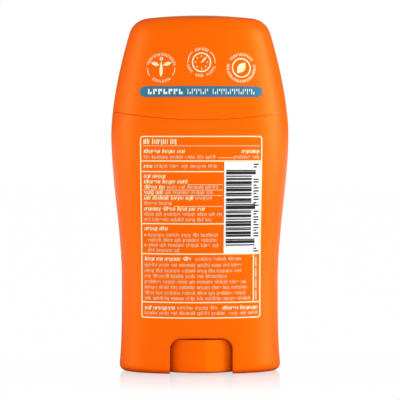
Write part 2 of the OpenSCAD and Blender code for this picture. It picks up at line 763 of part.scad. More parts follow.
module barcode_field()
    color("#ffffff")
        ink([field(block_x, block_x + block_w, row(block_rule) + frame_w / 2 + line_gap,
                   row(head_rule) - frame_w / 2 - line_gap)]);

// Bars of one to three modules, with spaces of one to two. The bars at the two ends and in
// the middle are guard bars.
bars_in = 0.7;
bar_x = block_x + bars_in;
bar_low = row(19.8);
bar_high = row(5.85);
guard_zone = 10;
function is_guard(z) =
    z < bar_low + guard_zone * module_w || z > bar_high - guard_zone * module_w
    || abs(z - (bar_low + bar_high) / 2) < guard_zone / 3 * module_w;
function bar_size(k) = 1 + (k * k + k) % 3 + (k % 5 == 3 ? 1 : 0);
function space_size(k) = 1 + (k * 3 + 1) % 2 + (k % 7 == 2 ? 1 : 0);
function bars(z, k) =
    z > bar_high - bar_size(k) * module_w ? [] :
    concat([field(bar_x, bar_x + bar_w + (is_guard(z) ? guard_w : 0), z, z + bar_size(k) * module_w)],
           bars(z + (bar_size(k) + space_size(k)) * module_w, k + 1));

module barcode_bars()
    color("#141414") ink(bars(bar_low, 0), base = 2 * ink_gap + ink_t);

cap();
cap_band();
band_marks();
cap_emblems();
applicator_head();
outer_body();
canister();
product();
piston();
spindle();
dial();
label_lines();
barcode_field();
barcode_bars();
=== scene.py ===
"""An oval twist-up stick for soft antiperspirant: an orange overcap on a waisted orange body,
with a product canister, a perforated applicator and a screw-driven piston inside."""

import math

import bmesh
import bpy
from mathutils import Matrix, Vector


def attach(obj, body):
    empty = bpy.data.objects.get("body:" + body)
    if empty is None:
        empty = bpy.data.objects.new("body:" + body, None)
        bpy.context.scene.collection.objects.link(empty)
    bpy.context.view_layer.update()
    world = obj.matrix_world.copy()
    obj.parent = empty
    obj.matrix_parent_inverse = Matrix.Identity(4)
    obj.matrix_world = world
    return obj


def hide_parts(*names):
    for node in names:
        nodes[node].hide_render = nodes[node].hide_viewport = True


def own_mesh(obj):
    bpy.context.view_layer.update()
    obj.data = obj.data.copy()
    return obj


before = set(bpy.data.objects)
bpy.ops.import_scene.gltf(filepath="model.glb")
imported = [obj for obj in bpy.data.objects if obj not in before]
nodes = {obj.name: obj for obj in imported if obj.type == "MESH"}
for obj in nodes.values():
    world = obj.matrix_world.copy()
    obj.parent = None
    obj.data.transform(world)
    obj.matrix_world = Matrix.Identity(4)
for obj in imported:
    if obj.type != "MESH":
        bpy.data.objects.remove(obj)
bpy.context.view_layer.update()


# Canister
# A straight oval tube with a floor and a snap neck, injection moulded in natural
# polypropylene. It is pushed into the outer body from above and its deck snaps under hooks.

MM = 0.001
SATIN_SPREAD = 0.03


def linear(hex_colour):
    """An sRGB hex colour as linear red, green, blue and alpha."""
    parts = [int(hex_colour[i:i + 2], 16) / 255 for i in (1, 3, 5)]
    return [c / 12.92 if c <= 0.04045 else ((c + 0.055) / 1.055) ** 2.4 for c in parts] + [1.0]


def add(tree, kind, links=None, sockets=None, **settings):
    """Adds a node, with its settings, its socket values and the sockets that feed it."""
    made = tree.nodes.new(kind)
    for name, value in settings.items():
        setattr(made, name, value)
    for name, value in (sockets or {}).items():
        made.inputs[name].default_value = value
    for name, source in (links or {}).items():
        tree.links.new(source, made.inputs[name])
    return made


def moulded_polypropylene(name, colour, shade, roughness, grain_mm, grain_depth_mm, cloud_mm=9):
    """Polypropylene from a spark-eroded mould: a satin skin with a fine even grain, and a colour
    that clouds very slightly where the melt ran together."""
    material = bpy.data.materials.new(name)
    material.use_nodes = True
    tree = material.node_tree
    shader = tree.nodes["Principled BSDF"]
    shader.inputs["IOR"].default_value = 1.49
    place = add(tree, "ShaderNodeTexCoord").outputs["Object"]
    clouds = add(tree, "ShaderNodeTexNoise", {"Vector": place},
                 {"Scale": 1 / (cloud_mm * MM), "Detail": 2.0})
    tint = add(tree, "ShaderNodeMix", {"Factor": clouds.outputs["Fac"]}, data_type="RGBA")
    tint.inputs["A"].default_value = linear(colour)
    tint.inputs["B"].default_value = linear(shade)
    tree.links.new(tint.outputs["Result"], shader.inputs["Base Color"])
    grain = add(tree, "ShaderNodeTexNoise", {"Vector": place},
                {"Scale": 1 / (grain_mm * MM), "Detail": 3.0})
    satin = add(tree, "ShaderNodeMapRange", {"Value": grain.outputs["Fac"]},
                {"To Min": roughness - SATIN_SPREAD, "To Max": roughness + SATIN_SPREAD})
    tree.links.new(satin.outputs["Result"], shader.inputs["Roughness"])
    bump = add(tree, "ShaderNodeBump", {"Height": grain.outputs["Fac"]},
               {"Strength": 1.0, "Distance": grain_depth_mm * MM})
    tree.links.new(bump.outputs["Normal"], shader.inputs["Normal"])
    return material


def finish_with(piece, material):
    """Gives a piece one material over all of it."""
    piece.data.materials.clear()
    piece.data.materials.append(material)


natural_pp = moulded_polypropylene("natural_polypropylene", "#f1efe9", "#e9e6de", roughness=0.36,
                                   grain_mm=0.3, grain_depth_mm=0.004)
shader = natural_pp.node_tree.nodes["Principled BSDF"]
shader.inputs["Subsurface Weight"].default_value = 0.12
shader.inputs["Subsurface Scale"].default_value = 1.2 * MM
finish_with(nodes["canister"], natural_pp)


# Spindle
# The screw, moulded in natural polypropylene: a square tail that presses into the dial, a
# journal in the canister's floor, a sealing flange, and a two-start left-hand thread.

SPINDLE_COLUMNS = 48
TAIL_HALF, TAIL_LOW = 2.0, 2.0
JOURNAL_R, JOURNAL_LOW = 3.0, 12.6
SEAL_R, SEAL_LOW, SEAL_HIGH, SEAL_EDGE = 5.0, 14.45, 15.85, 0.15
CREST_R, ROOT_R, SPINDLE_TOP, TIP = 3.5, 2.95, 94.0, 1.2
THREAD_PITCH, THREAD_STARTS, THREAD_STEP = 2.5, 2, 0.25
# Half the groove's floor and one of its flanks, as shares of the pitch
GROOVE_FLOOR, GROOVE_FLANK = 0.18, 0.14
WELD = 0.002


def piece_from(name, mesh, sharp_from_deg=35):
    """An object from a bmesh in millimetres: welded, with its faces outwards, smooth shaded and
    sharp only where it turns hard."""
    bmesh.ops.scale(mesh, vec=(MM, MM, MM), verts=mesh.verts)
    bmesh.ops.remove_doubles(mesh, verts=mesh.verts, dist=WELD * MM)
    bmesh.ops.recalc_face_normals(mesh, faces=mesh.faces)
    data = bpy.data.meshes.new(name)
    mesh.to_mesh(data)
    mesh.free()
    data.shade_smooth()
    data.set_sharp_from_angle(angle=math.radians(sharp_from_deg))
    piece = bpy.data.objects.new(name, data)
    bpy.context.scene.collection.objects.link(piece)
    return piece


def skin_over(mesh, rings):
    """Adds faces from each ring of points to the next. A ring of one point closes an end."""
    rows = [[mesh.verts.new(point) for point in ring] for ring in rings]
    for low, high in zip(rows, rows[1:]):
        for i in range(max(len(low), len(high))):
            corners = (low[i % len(low)], low[(i + 1) % len(low)],
                       high[(i + 1) % len(high)], high[i % len(high)])
            mesh.faces.new(list(dict.fromkeys(corners)))


def turned(radius, z, columns=SPINDLE_COLUMNS):
    """A ring of points about the upright axis. The radius may depend on the angle."""
    angles = [2 * math.pi * i / columns for i in range(columns)]
    reach = [radius(a) if callable(radius) else radius for a in angles]
    return [(r * math.cos(a), r * math.sin(a), z) for r, a in zip(reach, angles)]


def tail_radius(angle):
    """The square tail's radius in one direction."""
    return TAIL_HALF / max(abs(math.cos(angle)), abs(math.sin(angle)))


def thread_radius(z):
    """The thread's radius round the screw at one height. It runs out near both ends."""
    runout = min(1, (z - SEAL_HIGH) / THREAD_PITCH, (SPINDLE_TOP - TIP - z) / THREAD_PITCH)

    def radius(angle):
        phase = (z / THREAD_PITCH + THREAD_STARTS * angle / (2 * math.pi)) % 1
        groove = min(1, max(0, (abs(phase - 0.5) - GROOVE_FLOOR) / GROOVE_FLANK))
        return CREST_R - (CREST_R - ROOT_R) * (1 - groove) * max(0, runout)
    return radius


rings = [[(0, 0, TAIL_LOW)], turned(tail_radius, TAIL_LOW), turned(tail_radius, JOURNAL_LOW),
         turned(JOURNAL_R, JOURNAL_LOW), turned(JOURNAL_R, SEAL_LOW),
         turned(SEAL_R - SEAL_EDGE, SEAL_LOW), turned(SEAL_R, SEAL_LOW + SEAL_EDGE),
         turned(SEAL_R, SEAL_HIGH - SEAL_EDGE), turned(SEAL_R - SEAL_EDGE, SEAL_HIGH)]
thread_rows = int((SPINDLE_TOP - TIP - SEAL_HIGH) / THREAD_STEP)
for row in range(thread_rows + 1):
    z = SEAL_HIGH + (SPINDLE_TOP - TIP - SEAL_HIGH) * row / thread_rows
    rings.append(turned(thread_radius(z), z))
rings += [turned(CREST_R - TIP, SPINDLE_TOP), [(0, 0, SPINDLE_TOP)]]
mesh = bmesh.new()
skin_over(mesh, rings)
spindle = piece_from("spindle_screw", mesh)
finish_with(spindle, natural_pp)
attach(spindle, "screw")
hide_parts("spindle")


# Piston and applicator head
# Two more mouldings in natural polypropylene. The piston wipes the canister's wall with two
# lips and rides on the screw, and the perforated head plugs the neck.

for name in ("piston", "applicator_head"):
    finish_with(nodes[name], natural_pp)


# Product
# A soft white antiperspirant cream, poured warm into the canister above the piston, so its
# top has set with a shallow dish and a faint ripple. It shortens as the piston pushes it out.

CREAM_A, CREAM_B, CREAM_LOW, CREAM_HIGH, CREAM_BORE = 23.65, 12.0, 23.25, 92.95, 3.58
CREAM_COLUMNS, CREAM_RINGS = 96, 8
DISH, RIPPLE, RIPPLE_WAVES, RIPPLE_TWIST = 0.25, 0.06, 5, 9


def cream_ring(share, z_level):
    """An oval ring from the bore, at share 0, to the canister's wall, at share 1."""
    points = []
    a = CREAM_BORE + (CREAM_A - CREAM_BORE) * share
    b = CREAM_BORE + (CREAM_B - CREAM_BORE) * share
    for i in range(CREAM_COLUMNS):
        angle = 2 * math.pi * i / CREAM_COLUMNS
        wave = 1 + math.sin(RIPPLE_WAVES * angle + RIPPLE_TWIST * share)
        sink = DISH * math.sin(math.pi * share) + RIPPLE * wave * share
        points.append((a * math.cos(angle), b * math.sin(angle),
                       z_level - (sink if z_level == CREAM_HIGH and 0 < share < 1 else 0)))
    return points


mesh = bmesh.new()
rings = [cream_ring(i / CREAM_RINGS, CREAM_HIGH) for i in range(CREAM_RINGS + 1)]
rings += [cream_ring(1, CREAM_LOW), cream_ring(0, CREAM_LOW), cream_ring(0, CREAM_HIGH)]
skin_over(mesh, rings)
cream = piece_from("cream_filling", mesh)
# The cream takes the plastic's clouded colour, with a coarser and deeper skin.
finish_with(cream, moulded_polypropylene("antiperspirant_cream", "#fdfbf5", "#f6f3ea",
                                         roughness=0.5, grain_mm=1.6, grain_depth_mm=0.04))
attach(cream, "container")
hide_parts("product")
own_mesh(cream)


# Outer body
# The waisted sleeve that the hand holds, one moulding in satin orange polypropylene, 1.4 mm
# thick and open at both ends. Its skirt has a window front and back, where the dial is turned.

HALF_W, HALF_D = 30.0, 16.7
WAIST_HALF, FOOT_HALF, WAIST_Z, SHOULDER_Z = 26.45, 27.5, 31.0, 80.2
CAP_HALF, CORNER_Z = 23.8, 114.0
FLARE_POWER, LEAN_POWER = 3.8, 1.62
PARTING_Z, PARTING_RISE, SEAM = 84.8, 2.8, 0.08
FOOT_R, FOOT_BLEND, BODY_WALL, RIM_W, RIM_H = 2.4, 4.0, 1.4, 2.8, 2.4
WINDOW_HALF, WINDOW_TOP, WINDOW_R, LIP_R = 10.45, 11.8, 3.7, 0.8
DECK_Z, LEDGE, EDGE_R = 82.45, 1.2, 0.2
HOOK_Z, HOOK_H, HOOK_OUT, HOOK_TURN, HOOK_STEPS = 83.9, 1.2, 0.7, 0.2, 8
ORANGE, ORANGE_SHADE = "#ff6500", "#fe6400"
# The tint, distance and limits after MIRROR_TINT paint shade into the colour in gaps and folds.
MIRROR_TINT, PAINTED_SHADE_TINT, PAINTED_SHADE_MM, PAINTED_SHADE_SHUT, PAINTED_SHADE_OPEN = "#ffea62", "#cd9a80", 3.0, 0.25, 0.8
BODY_COLUMNS, WINDOW_COLUMNS, WINDOW_REACH, EVEN_TO = 192, 20, 17.0, 78
FOOT_ROWS, SKIRT_ROWS, UPPER_ROWS, PARTING_TRIES = 5, 15, 26, 8


def half_width(z):
    """Half the pack's width at a height: flared foot, waist, shoulder, and the leaning cap."""
    if z < WAIST_Z:
        return WAIST_HALF + (FOOT_HALF - WAIST_HALF) * ((WAIST_Z - z) / WAIST_Z) ** FLARE_POWER
    if z < SHOULDER_Z:
        t = (z - WAIST_Z) / (SHOULDER_Z - WAIST_Z)
        return WAIST_HALF + (HALF_W - WAIST_HALF) * t * t * (3 - 2 * t)
    leaned = ((z - SHOULDER_Z) / (CORNER_Z - SHOULDER_Z)) ** LEAN_POWER
    return HALF_W - (HALF_W - CAP_HALF) * leaned


def oval(inset):
    """Depth over width of the oval that lies this far inside the outside."""
    return (HALF_D - inset) / (HALF_W - inset)


def on_oval(radius, inset, turn, z):
    """A point of an oval ring, at an angle from the middle of the front."""
    return Vector((radius * math.sin(turn), -oval(inset) * radius * math.cos(turn), z))


PARTING_R = (half_width(PARTING_Z + PARTING_RISE) ** 2 + PARTING_RISE ** 2) / (2 * PARTING_RISE)
FOOT_LOW = FOOT_R - FOOT_R * math.pi / 2


def outside(turn, way):
    """A point of the outside. Below the foot's radius the way runs round the rolled edge, to
    the flat of the rim at FOOT_LOW."""
    bend = max(0, (FOOT_R - way) / FOOT_R)
    z = FOOT_R - FOOT_R * math.sin(bend) if bend else way
    return on_oval(half_width(max(z, FOOT_R)) - FOOT_R * (1 - math.cos(bend)), 0, turn, z)


def inner_radius(z):
    """Half the width inside the wall: a thick rim at the foot, blended into an even wall."""
    rim, wall = half_width(0) - RIM_W, half_width(FOOT_BLEND) - BODY_WALL
    if z < RIM_H:
        return rim
    if z < FOOT_BLEND:
        return rim + (wall - rim) * (z - RIM_H) / (FOOT_BLEND - RIM_H)
    return half_width(z) - BODY_WALL


def inner_z(way):
    """The height inside that faces a way outside. The rolled edge outside takes longer."""
    return way if way > FOOT_BLEND else (way - FOOT_LOW) / (FOOT_BLEND - FOOT_LOW) * FOOT_BLEND


def inside(turn, way):
    """A point of the inside, level with the outside's at the same way."""
    return on_oval(inner_radius(inner_z(way)), BODY_WALL, turn, inner_z(way))


def parting_point(turn, inset, below, radius_at):
    """Where a wall meets the curved parting line, moved down by below."""
    z = PARTING_Z
    for _ in range(PARTING_TRIES):
        x = radius_at(z) * math.sin(turn)
        z = PARTING_Z + PARTING_R - math.sqrt(PARTING_R ** 2 - x ** 2) - below
    return on_oval(radius_at(z), inset, turn, z)


# The window's outline runs from the foot up, over the top and down again, and each ring of
# the surface round it steps back from the opening, over a rounded lip.
lip_straight = WINDOW_TOP - WINDOW_R - FOOT_LOW
lip_arc = WINDOW_R * math.pi / 2
lip_top = 2 * (WINDOW_HALF - WINDOW_R)
lip_corner = lip_straight + lip_arc / 2
lip_length = 2 * lip_straight + 2 * lip_arc + lip_top


def window_outline(way):
    """The outline's place across and up, and its direction away from the opening."""
    side = -1
    if way > lip_length / 2:
        way, side = lip_length - way, 1
    if way < lip_straight:
        return side * WINDOW_HALF, FOOT_LOW + way, side, 0.0
    angle = min((way - lip_straight) / WINDOW_R, math.pi / 2)
    past = max(0, way - lip_straight - lip_arc)
    across = WINDOW_HALF - WINDOW_R + WINDOW_R * math.cos(angle) - past
    up = WINDOW_TOP - WINDOW_R + WINDOW_R * math.sin(angle)
    return side * across, up, side * math.cos(angle), math.sin(angle)


def beside_window(spot, back, depth, reach, far):
    """A point near the window: back from its edge, sunk by a share of the wall, and then moved
    by reach towards a point (angle, way) of the body's own rows."""
    x, way, nx, nz = spot
    x, way = x + back * nx, way + back * nz
    ends = []
    for surface in (outside, inside):
        radius = Vector(surface(math.pi / 2, way)).x
        turn = math.asin(x / radius)
        ends.append(surface(turn + (far[0] - turn) * reach, way + (far[1] - way) * reach))
    return ends[0].lerp(ends[1], depth)


low_ways = [FOOT_LOW + (FOOT_R - FOOT_LOW) * i / FOOT_ROWS for i in range(FOOT_ROWS + 1)]
low_ways += [FOOT_R + (WINDOW_REACH - FOOT_R) * i / SKIRT_ROWS for i in range(1, SKIRT_ROWS + 1)]
column_turn = 2 * math.pi / BODY_COLUMNS
turns = [i * column_turn for i in range(BODY_COLUMNS)]
steps = [1, 0.6, 0.3, 0.12, 0]
lip_angles = [math.radians(a) for a in (22.5, 45, 67.5, 90)]


def window_patch(mesh, about):
    """The surface round one window, outside, lip and inside, turned by an angle about Z."""
    edge = WINDOW_COLUMNS * column_turn
    far = [(-edge, way) for way in low_ways]
    far += [(i * column_turn, WINDOW_REACH) for i in range(1 - WINDOW_COLUMNS, WINDOW_COLUMNS)]
    far += [(edge, way) for way in reversed(low_ways)]
    sides = len(low_ways) - 1
    ways = [lip_corner * i / sides for i in range(sides + 1)]
    ways += [lip_corner + (lip_length - 2 * lip_corner) * i / (2 * WINDOW_COLUMNS)
             for i in range(1, 2 * WINDOW_COLUMNS)]
    ways += [lip_length - way for way in reversed(ways[:sides + 1])]
    strips = []
    for way, goal in zip(ways, far):
        spot = window_outline(way)
        strip = [beside_window(spot, LIP_R, 0, step, goal) for step in steps]
        strip += [beside_window(spot, LIP_R * (1 - math.sin(a)),
                                LIP_R * (1 - math.cos(a)) / BODY_WALL, 0, goal) for a in lip_angles]
        strip += [beside_window(spot, 0, 1, step, goal) for step in reversed(steps)]
        strips.append([(p.x * about, p.y * about, p.z) for p in strip])
    rows = [[mesh.verts.new(point) for point in strip] for strip in strips]
    for one, other in zip(rows, rows[1:]):
        for i in range(len(one) - 1):
            mesh.faces.new((one[i], one[i + 1], other[i + 1], other[i]))
    for foot_row in (rows[0], rows[-1]):
        half = len(steps)
        for i in range(half - 1):
            mesh.faces.new((foot_row[i], foot_row[i + 1], foot_row[-2 - i], foot_row[-1 - i]))
        mesh.faces.new(foot_row[half - 1:-half + 1])


# Rings of points go up the outside, over the rounded upper edge, down to the ledge that carries
# the canister's deck, and down the inside. The two windows are left out and patched afterwards.
mesh = bmesh.new()
upper = [WINDOW_REACH + (EVEN_TO - WINDOW_REACH) * i / UPPER_ROWS for i in range(1, UPPER_ROWS + 1)]
rings = [[outside(turn, way) for turn in turns] for way in low_ways + upper]
tops = [parting_point(turn, 0, SEAM, half_width) for turn in turns]
for share in (0.25, 0.5, 0.75, 1):
    rings.append([outside(turn, EVEN_TO + (top.z - EDGE_R - EVEN_TO) * share)
                  for turn, top in zip(turns, tops)])
for angle in (30, 60, 90):
    back = EDGE_R * (1 - math.cos(math.radians(angle)))
    down = EDGE_R * (1 - math.sin(math.radians(angle)))
    rings.append([on_oval(half_width(top.z) - back, 0, turn, top.z - down)
                  for turn, top in zip(turns, tops)])
rings.append([parting_point(turn, BODY_WALL, SEAM, inner_radius) for turn in turns])
inner_edge = inner_radius(DECK_Z)
ledge_foot = DECK_Z - 2 * LEDGE
for radius, z in ((inner_edge, DECK_Z), (inner_edge - LEDGE, DECK_Z),
                  (inner_edge - LEDGE, DECK_Z - LEDGE), (inner_radius(ledge_foot), ledge_foot)):
    rings.append([on_oval(radius, BODY_WALL, turn, z) for turn in turns])
rings += [[inside(turn, way) for turn in turns] for way in reversed(low_ways + upper)]
rows = [[mesh.verts.new(point) for point in ring] for ring in rings]
low = len(low_ways)
for r in range(len(rows)):
    below = rows[r]
    above = rows[(r + 1) % len(rows)]
    skirt = r < low - 1 or r >= len(rows) - low
    for i in range(BODY_COLUMNS):
        half_way = BODY_COLUMNS // 2
        from_front = min(i, BODY_COLUMNS - 1 - i)
        from_back = i - half_way if i >= half_way else half_way - 1 - i
        if skirt and min(from_front, from_back) < WINDOW_COLUMNS:
            continue
        j = (i + 1) % BODY_COLUMNS
        mesh.faces.new((below[i], below[j], above[j], above[i]))
for about in (1, -1):
    window_patch(mesh, about)
# One hook at each end of the oval holds the canister's deck down.
for end in (1, -1):
    hook = []
    for i in range(HOOK_STEPS + 1):
        turn = end * (math.pi / 2 + HOOK_TURN * (2 * i / HOOK_STEPS - 1))
        hook.append([mesh.verts.new(on_oval(inner_edge + out, BODY_WALL, turn, HOOK_Z + up))
                     for out, up in ((-HOOK_OUT, 0), (HOOK_OUT, 0), (HOOK_OUT, HOOK_H))])
    for one, other in zip(hook, hook[1:]):
        for i in range(3):
            mesh.faces.new((one[i], one[(i + 1) % 3], other[(i + 1) % 3], other[i]))
    mesh.faces.new(hook[0])
    mesh.faces.new(hook[-1][::-1])
body = piece_from("body_sleeve", mesh)


def orange_moulding(name):
    """The orange batch. Its colour is painted darker and redder in gaps and folds, where shade
    falls:
    painted shade from ambient occlusion. The pigment tints the sheen."""
    material = moulded_polypropylene(name, ORANGE, ORANGE_SHADE, roughness=0.30, grain_mm=0.25,
                                     grain_depth_mm=0.002)
    tree = material.node_tree
    shader = tree.nodes["Principled BSDF"]
    shader.inputs["Specular Tint"].default_value = linear(MIRROR_TINT)
    # Painted shade: near a gap or fold, ambient occlusion pulls the colour down toward a darker,
    # redder tint.
    crease_occlusion = add(tree, "ShaderNodeAmbientOcclusion", sockets={"Distance": PAINTED_SHADE_MM * MM}, samples=8)
    painted_shade = add(tree, "ShaderNodeMapRange", {"Value": crease_occlusion.outputs["AO"]},
               {"From Min": PAINTED_SHADE_SHUT, "From Max": PAINTED_SHADE_OPEN, "To Min": 1.0, "To Max": 0.0})
    tint = add(tree, "ShaderNodeMix", {"Factor": painted_shade.outputs["Result"]}, data_type="RGBA",
               blend_type="MULTIPLY")
    tree.links.new(shader.inputs["Base Color"].links[0].from_socket, tint.inputs["A"])
    tint.inputs["B"].default_value = linear(PAINTED_SHADE_TINT)
    tree.links.new(tint.outputs["Result"], shader.inputs["Base Color"])
    return material


orange_pp = orange_moulding("orange_polypropylene")
finish_with(body, orange_pp)
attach(body, "container")
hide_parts("outer_body")


# Cap
# The overcap, pulled straight off: one more moulding of the same batch, so that it matches.

finish_with(nodes["cap"], orange_pp)


# Dial
# The turning dial under the body, in the same polypropylene. To the right of a soft line near its
# middle, its colour is painted a shade lighter: a painted reflection.

LINE_FROM, LINE_TO, PAINTED_REFLECTION_GAIN = 1.0, 1.3, 1.22
dial_pp = orange_moulding("dial_polypropylene")
tree = dial_pp.node_tree
shader = tree.nodes["Principled BSDF"]
across = add(tree, "ShaderNodeSeparateXYZ", {0: add(tree, "ShaderNodeTexCoord").outputs["Object"]})
half = add(tree, "ShaderNodeMapRange", {"Value": across.outputs["X"]},
           {"From Min": LINE_FROM * MM, "From Max": LINE_TO * MM})
tint = add(tree, "ShaderNodeMix", {"Factor": half.outputs["Result"]}, data_type="RGBA",
           blend_type="MULTIPLY")
tree.links.new(shader.inputs["Base Color"].links[0].from_socket, tint.inputs["A"])
# Painted reflection: the green is raised to the right of the line, which makes that half lighter.
tint.inputs["B"].default_value = (1.0, PAINTED_REFLECTION_GAIN, 1.0, 1.0)
tree.links.new(tint.outputs["Result"], shader.inputs["Base Color"])
finish_with(nodes["dial"], dial_pp)


# Print on the body
# Pad-printed inks on the flamed plastic: a cream panel with its rules and its lines of small
# print, and a white block with black bars. Each word is a run of plain fine strokes.

INK_BACK, INK_FRONT = 0.04, 0.12
# How far the black ink on the white block and the white ink on the blue band stand out
OVER_BACK, TICK_FRONT, BAND_FRONT = 0.19, 0.26, 0.25
# Strokes that stand tall, hang low or stop short, by their beat
BEAT_COUNT, TALL, HANGING, SHORT = 23, (2, 7, 11, 16), (5, 19), (3, 13)
HANG_SHARE, SHORT_SHARE, THINNEST, THICKER = 0.8, 0.45, 0.8, 0.2


def ink(name, colour, shade, roughness=0.42):
    """Two-part pad-printing ink: a thin satin film with a faint mottle where it pulled away."""
    return moulded_polypropylene(name, colour, shade, roughness, grain_mm=0.15,
                                 grain_depth_mm=0.001, cloud_mm=1.5)


def on_face(x, z, out):
    """A point over the front of the pack, in millimetres."""
    radius = half_width(z)
    return (x, -(radius * oval(0) * math.sqrt(1 - (x / radius) ** 2) + out), z)


def stroke(mesh, corners, back_out=INK_BACK, front_out=INK_FRONT):
    """One small printed mark, from the corners of its front given as places across and up."""
    back, front = [[mesh.verts.new(on_face(x, z, out)) for x, z in corners]
                   for out in (back_out, front_out)]
    mesh.faces.new(front)
    mesh.faces.new(back[::-1])
    for i in range(len(corners)):
        j = (i + 1) % len(corners)
        mesh.faces.new((back[i], back[j], front[j], front[i]))


def patches(node):
    """The separate printed patches of a node: a bmesh in millimetres, and each patch's faces
    with its box across and up."""
    mesh = bmesh.new()
    mesh.from_mesh(nodes[node].data)
    bmesh.ops.scale(mesh, vec=(1 / MM, 1 / MM, 1 / MM), verts=mesh.verts)
    bmesh.ops.remove_doubles(mesh, verts=mesh.verts, dist=WELD)
    found, seen = [], set()
    for first in mesh.faces:
        if first in seen:
            continue
        seen.add(first)
        group, to_visit = [first], [first]
        while to_visit:
            for vert in to_visit.pop().verts:
                for face in vert.link_faces:
                    if face not in seen:
                        seen.add(face)
                        group.append(face)
                        to_visit.append(face)
        xs = [v.co.x for face in group for v in face.verts]
        zs = [v.co.z for face in group for v in face.verts]
        found.append((group, min(xs), max(xs), min(zs), max(zs)))
    return mesh, found


def word(mesh, x0, x1, z0, z1, key, width, pitch, slant, rise):
    """A run of plain strokes that fills a word's box. A beat, scattered by the word's key and
    the stroke's place, says which are thicker, taller, lower or shorter."""
    count = max(1, round((x1 - x0) / pitch))
    for i in range(count):
        beat = (key * 31 + i * 17 + i * i * 5) % BEAT_COUNT
        x = x0 + (x1 - x0) * (i + 0.5) / count - width / 2
        wide = width * (THINNEST + THICKER * (beat % 3))
        top = z1 + (rise if beat in TALL else 0)
        low = z0 - (HANG_SHARE * rise if beat in HANGING else 0)
        if beat in SHORT:
            low = z0 + SHORT_SHARE * (z1 - z0)
        lean_low, lean_top = slant * (low - z0), slant * (top - z0)
        stroke(mesh, [(x + lean_low, low), (x + wide + lean_low, low),
                      (x + wide + lean_top, top), (x + lean_top, top)])


def printed(name, mesh, material, body_name, node=None):
    """Finishes a printed piece, which may stand for a node."""
    piece = piece_from(name, mesh)
    finish_with(piece, material)
    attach(piece, body_name)
    if node:
        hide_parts(node)


# The panel's words and the print that runs up its side are told from its rules by their size.
WORD_LEAST_H, WORD_MOST_H, WORD_LEAST_W = 0.6, 1.5, 0.7
UPRIGHT_LEAST_W, UPRIGHT_MOST_W, UPRIGHT_LEAST_H, UPRIGHT_MOST_H = 0.4, 0.75, 2, 4
UPRIGHT_STROKES, UPRIGHT_THICK, UPRIGHT_IN = 8, 0.18, 0.3
# Title, headings and small print, each as the height its words pass, how far its strokes reach
# below and above them, the strokes' width and pitch, their slant and how far the tall ones rise
STYLES = ((1.2, 0.15, 0.15, 0.34, 0.60, 0.0, 0.2),
          (0.95, 0.05, 0.0, 0.27, 0.47, 0.2, 0.3),
          (0.0, 0.05, 0.05, 0.115, 0.36, 0.0, 0.3))
cream_ink = ink("cream_ink", "#fff0be", "#ffecb4")
mesh, found = patches("label_lines")
gone = []
words = []
for key, (faces, x0, x1, z0, z1) in enumerate(sorted(found, key=lambda f: (-round(f[4], 1), f[1]))):
    wide, tall = x1 - x0, z1 - z0
    if WORD_LEAST_H < tall < WORD_MOST_H and wide > WORD_LEAST_W:
        words.append((x0, x1, z0, z1, key))
    elif UPRIGHT_LEAST_W < wide < UPRIGHT_MOST_W and UPRIGHT_LEAST_H < tall < UPRIGHT_MOST_H:
        words.append((x0, x1, z0, z1, -key))
    else:
        continue
    gone += faces
bmesh.ops.delete(mesh, geom=gone, context="FACES")
for x0, x1, z0, z1, key in words:
    tall = z1 - z0
    if key < 0:
        for i in range(UPRIGHT_STROKES):
            z = z0 + tall * (i + UPRIGHT_IN) / UPRIGHT_STROKES
            high = z + UPRIGHT_THICK
            stroke(mesh, [(x0, z), (x1, z), (x1, high), (x0, high)])
    else:
        _, below, above, width, pitch, slant, rise = next(s for s in STYLES if tall > s[0])
        word(mesh, x0, x1, z0 - below, z1 + above, key, width, pitch, slant, rise)
printed("panel_print", mesh, cream_ink, "container", "label_lines")

finish_with(nodes["barcode_field"], ink("white_ink", "#fbfbfa", "#f8f8f7"))
black_ink = ink("black_ink", "#1c1c1e", "#242426", roughness=0.36)

# The black ink spreads a little past each bar's edges as it is pressed on.
BAR_SPREAD = 0.06
mesh, found = patches("barcode_bars")
for faces, x0, x1, z0, z1 in found:
    middle = (z0 + z1) / 2
    for vert in {v for face in faces for v in face.verts}:
        vert.co.z += math.copysign(BAR_SPREAD, vert.co.z - middle)
printed("block_bars", mesh, black_ink, "container", "barcode_bars")

# Pairs of short ticks stand beside the bars.
TICK_X0, TICK_X1, TICK_H, TICK_APART, TICK_SHORT = 17.45, 19.2, 0.46, 0.88, 0.6
TICKS_Z = (69.5, 64.5, 62.5, 60.6, 58.7, 56.7, 53.8, 51.9, 50.2, 48.3, 46.5, 41.4)
block_marks = bmesh.new()
for i, z in enumerate(TICKS_Z):
    for up in (0, TICK_APART):
        reach = 1 if (i + (up > 0)) % 3 else TICK_SHORT
        end = TICK_X0 + reach * (TICK_X1 - TICK_X0)
        low = z - TICK_APART / 2 - TICK_H / 2 + up
        high = low + TICK_H
        stroke(block_marks, [(TICK_X0, low), (end, low), (end, high), (TICK_X0, high)],
               OVER_BACK, TICK_FRONT)
printed("block_marks", block_marks, black_ink, "container")


# Print on the cap
# A blue band with white marks, and three cream emblems, pad printed like the panel.

finish_with(nodes["cap_band"], ink("blue_ink", "#2f7896", "#2c7492"))

